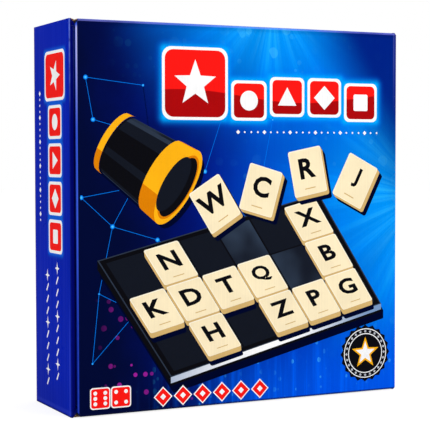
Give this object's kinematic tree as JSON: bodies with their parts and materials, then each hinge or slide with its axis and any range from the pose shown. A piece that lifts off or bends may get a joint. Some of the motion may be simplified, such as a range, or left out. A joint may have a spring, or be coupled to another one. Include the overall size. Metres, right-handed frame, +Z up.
{
  "type": "word tile game",
  "caption": "Boxed word tile game: printed corrugated carton with a side-hinged tuck lid, holding letter tiles in black tile racks closed as cases by amber end caps.",
  "frame": {"origin": "middle of the base that the carton stands on", "axes": "+X to the right along the lid, to its hinge; +Y from the lid to the back panel; +Z up"},
  "size_m": [0.255, 0.076, 0.2652],
  "materials": {
    "printed_front": "gloss laminated print on corrugated board",
    "printed_wall": "gloss laminated royal blue print on corrugated board",
    "brown_board": "plain brown corrugated board",
    "white_card": "uncoated white card",
    "leaflet_paper": "folded paper",
    "black_plastic": "satin black moulded plastic",
    "silver_strip": "bright silver strip",
    "amber_plastic": "satin amber moulded plastic",
    "ivory_tile": "polished ivory plastic with black letters"
  },
  "bodies": {
    "carton": {"back_panel": "printed_wall", "spine_wall": "printed_wall", "top_wall": "printed_wall", "bottom_wall": "printed_wall", "hinge_wall": "printed_wall", "corner_ear_spine_bottom": "brown_board", "corner_ear_spine_top": "brown_board", "corner_ear_hinge_bottom": "brown_board", "corner_ear_hinge_top": "brown_board", "insert_floor": "white_card", "lower_step": "white_card", "upper_step": "white_card", "case_shelf": "white_card", "tile_channel": "white_card", "rules_leaflet": "leaflet_paper", "lower_back_rack_shell": "black_plastic", "lower_back_rack_tiers": "black_plastic", "lower_front_rack_shell": "black_plastic", "lower_front_rack_tiers": "black_plastic", "upper_back_rack_shell": "black_plastic", "upper_back_rack_tiers": "black_plastic", "upper_front_rack_shell": "black_plastic", "upper_front_rack_tiers": "black_plastic", "lower_back_rack_strip": "silver_strip", "lower_front_rack_strip": "silver_strip", "upper_back_rack_strip": "silver_strip", "upper_front_rack_strip": "silver_strip", "lower_back_rack_tiles_front": "ivory_tile", "lower_back_rack_tiles_rear": "ivory_tile", "lower_front_rack_tiles_front": "ivory_tile", "lower_front_rack_tiles_rear": "ivory_tile", "upper_back_rack_tiles_front": "ivory_tile", "upper_back_rack_tiles_rear": "ivory_tile", "upper_front_rack_tiles_front": "ivory_tile", "upper_front_rack_tiles_rear": "ivory_tile", "tile_stack_1": "ivory_tile", "tile_stack_2": "ivory_tile", "tile_stack_3": "ivory_tile", "tile_stack_4": "ivory_tile", "tile_stack_5": "ivory_tile"},
    "lid": {"lid": "printed_front"},
    "tuck_flap": {"tuck_flap": "printed_front"},
    "tuck_ear_top": {"tuck_ear_top": "brown_board"},
    "tuck_ear_bottom": {"tuck_ear_bottom": "brown_board"},
    "lower_cap_left": {"lower_cap_left": "amber_plastic"},
    "lower_cap_right": {"lower_cap_right": "amber_plastic"},
    "upper_cap_left": {"upper_cap_left": "amber_plastic"},
    "upper_cap_right": {"upper_cap_right": "amber_plastic"}
  },
  "joints": [
    {"name": "lid_hinge", "type": "hinge", "parent": "carton", "child": "lid", "pos_m": [0.1267, -0.03719, 0], "axis": [0, 0, 1], "range_deg": [0, 180]},
    {"name": "tuck_flap_fold", "type": "hinge", "parent": "lid", "child": "tuck_flap", "pos_m": [-0.1228, -0.03719, 0], "axis": [0, 0, 1], "range_deg": [0, 82]},
    {"name": "tuck_ear_top_fold", "type": "hinge", "parent": "tuck_flap", "child": "tuck_ear_top", "pos_m": [-0.1228, -0.03719, 0.25716], "axis": [-0.1305, -0.9914, 0], "range_deg": [0, 82]},
    {"name": "tuck_ear_bottom_fold", "type": "hinge", "parent": "tuck_flap", "child": "tuck_ear_bottom", "pos_m": [-0.1228, -0.03719, 0.008], "axis": [0.1305, 0.9914, 0], "range_deg": [0, 82]},
    {"name": "lower_cap_left_slide", "type": "slide", "parent": "carton", "child": "lower_cap_left", "axis": [-1, 0, 0], "range_m": [0, 0.013]},
    {"name": "lower_cap_right_slide", "type": "slide", "parent": "carton", "child": "lower_cap_right", "axis": [1, 0, 0], "range_m": [0, 0.013]},
    {"name": "upper_cap_left_slide", "type": "slide", "parent": "carton", "child": "upper_cap_left", "axis": [-1, 0, 0], "range_m": [0, 0.013]},
    {"name": "upper_cap_right_slide", "type": "slide", "parent": "carton", "child": "upper_cap_right", "axis": [1, 0, 0], "range_m": [0, 0.013]}
  ],
  "couplings": [
    {"joint": "tuck_flap_fold", "follows": "lid_hinge", "ratio": 0.45},
    {"joint": "tuck_ear_top_fold", "follows": "lid_hinge", "ratio": 0.45},
    {"joint": "tuck_ear_bottom_fold", "follows": "lid_hinge", "ratio": 0.45}
  ]
}
